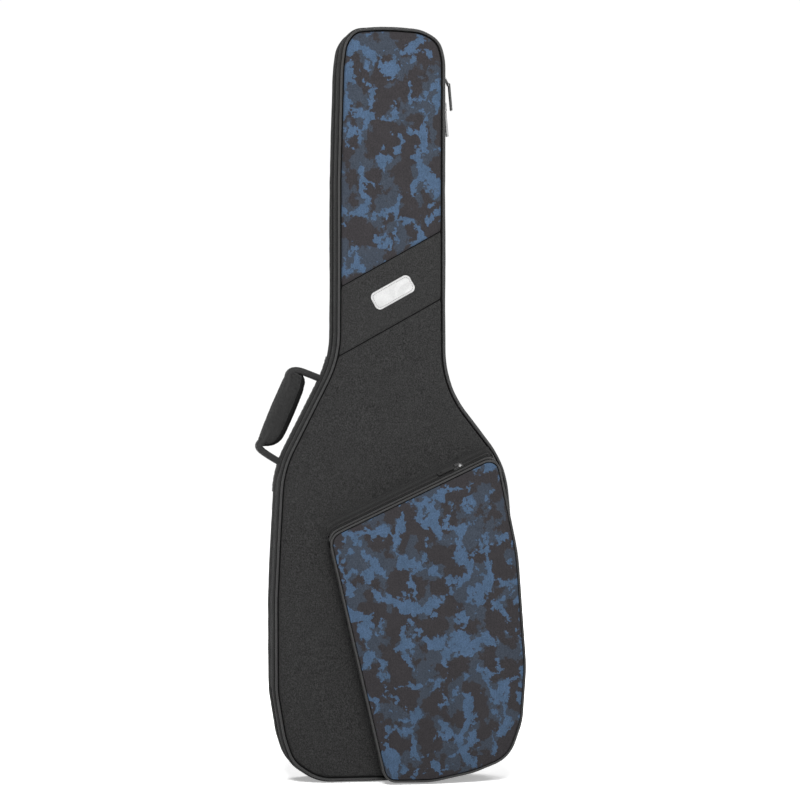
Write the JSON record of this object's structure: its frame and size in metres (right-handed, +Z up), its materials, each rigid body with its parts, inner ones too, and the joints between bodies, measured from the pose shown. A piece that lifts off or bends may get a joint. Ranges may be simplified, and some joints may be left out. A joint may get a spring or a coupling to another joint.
{
  "type": "padded gig bag",
  "caption": "Padded soft bag for an electric guitar, with a zipped book-opening front, a slanted accessory pocket, a side carrying handle, shoulder straps and a hang loop.",
  "frame": {"origin": "centre of the flat patch under the tail, which the bag stands on when it is held upright", "axes": "+Z up along the bag towards the head, -Y out of the front panel and pocket, +X to the right seen from the front"},
  "size_m": [0.372, 0.162, 1.0439],
  "materials": {
    "black_fabric": "woven, matt",
    "camo_fabric": "woven, printed pattern",
    "foam": "closed-cell foam, matt",
    "lining": "brushed nylon",
    "piping": "covered cord",
    "zip_tape": "knitted tape",
    "zip_coil": "coil",
    "slider_metal": "nickel-coloured",
    "grey_pull": "satin",
    "black_pull": "black",
    "webbing": "ribbed webbing",
    "padded_fabric": "padded woven fabric",
    "buckle_plastic": "moulded",
    "badge_thread": "embroidered patch"
  },
  "bodies": {
    "shell": {"back_panel": "black_fabric", "back_foam": "foam", "rear_side_wall": "black_fabric", "rear_side_foam": "foam", "rear_lining": "lining", "rear_piping": "piping", "rear_zip_tape": "zip_tape", "rear_zip_coil": "zip_coil", "hinge_tape": "zip_tape", "zip_end_stops": "slider_metal", "tail_patch": "webbing", "handle_patch": "webbing", "tail_bumper": "foam", "neck_cradle": "foam", "upper_anchor_patch": "webbing", "lower_anchor_tabs": "webbing", "loop_anchor": "webbing"},
    "lid": {"front_panel": "black_fabric", "shoulder_band": "black_fabric", "neck_panel": "camo_fabric", "front_foam": "foam", "front_side_wall": "black_fabric", "front_side_foam": "foam", "front_lining": "lining", "front_piping": "piping", "front_zip_tape": "zip_tape", "front_zip_coil": "zip_coil", "badge": "badge_thread", "pocket_side_wall": "black_fabric", "pocket_panel": "camo_fabric", "pocket_piping": "piping", "pocket_tape_lower": "zip_tape", "pocket_tape_upper": "zip_tape", "pocket_coils": "zip_coil"},
    "zip_slider_a": {"zip_slider_a": "slider_metal"},
    "zip_pull_a": {"zip_pull_a": "black_pull"},
    "zip_slider_b": {"zip_slider_b": "slider_metal"},
    "zip_pull_b": {"zip_pull_b": "grey_pull"},
    "pocket_slider": {"pocket_slider": "slider_metal"},
    "pocket_pull": {"pocket_pull": "grey_pull"},
    "handle": {"handle_webbing": "webbing", "handle_grip": "padded_fabric"},
    "hang_loop": {"hang_loop": "webbing"},
    "neck_strap": {"neck_strap": "webbing"},
    "strap_left": {"strap_pad_left": "padded_fabric", "strap_web_left": "webbing", "strap_lock_left": "buckle_plastic"},
    "strap_right": {"strap_pad_right": "padded_fabric", "strap_web_right": "webbing", "strap_lock_right": "buckle_plastic"}
  },
  "joints": [
    {"name": "lid_hinge", "type": "hinge", "parent": "shell", "child": "lid", "pos_m": [-0.17, -0.025, 0.276], "axis": [0, 0, -1], "range_deg": [0, 95]},
    {"name": "upper_slider_travel", "type": "slide", "parent": "shell", "child": "zip_slider_a", "axis": [0, 0, 1], "range_m": [-0.016, 0.006]},
    {"name": "upper_pull_swing", "type": "hinge", "parent": "zip_slider_a", "child": "zip_pull_a", "pos_m": [0.0779, -0.025, 0.976], "axis": [0, -1, 0], "range_deg": [-4, 145]},
    {"name": "lower_slider_travel", "type": "slide", "parent": "shell", "child": "zip_slider_b", "axis": [0, 0, -1], "range_m": [0, 0.3]},
    {"name": "lower_pull_swing", "type": "hinge", "parent": "zip_slider_b", "child": "zip_pull_b", "pos_m": [0.0779, -0.025, 0.941], "axis": [0, -1, 0], "range_deg": [-4, 145]},
    {"name": "pocket_slider_travel", "type": "slide", "parent": "lid", "child": "pocket_slider", "axis": [-0.9044, 0, -0.4267], "range_m": [-0.02, 0.17]},
    {"name": "pocket_pull_swing", "type": "hinge", "parent": "pocket_slider", "child": "pocket_pull", "pos_m": [0.08504, -0.08353, 0.43794], "axis": [-0.1908, 0.8944, 0.4045], "range_deg": [0, 150]},
    {"name": "handle_swing", "type": "hinge", "parent": "shell", "child": "handle", "pos_m": [-0.08, -0.001, 0.585], "axis": [-0.4519, 0, -0.8921], "range_deg": [-20, 40]},
    {"name": "hang_loop_swing", "type": "hinge", "parent": "shell", "child": "hang_loop", "pos_m": [-0.003, 0.0184, 1.0055], "axis": [1, 0, 0], "range_deg": [0, 100]},
    {"name": "neck_strap_swing", "type": "hinge", "parent": "shell", "child": "neck_strap", "pos_m": [-0.051, -0.0242, 0.735], "axis": [0, 0, -1], "range_deg": [0, 16]},
    {"name": "left_strap_swing", "type": "hinge", "parent": "shell", "child": "strap_left", "pos_m": [-0.039, 0.0147, 0.632], "axis": [-0.124, 0, -0.9923], "range_deg": [-15, 30]},
    {"name": "right_strap_swing", "type": "hinge", "parent": "shell", "child": "strap_right", "pos_m": [0.033, 0.0147, 0.632], "axis": [0.124, 0, -0.9923], "range_deg": [-30, 15]}
  ]
}
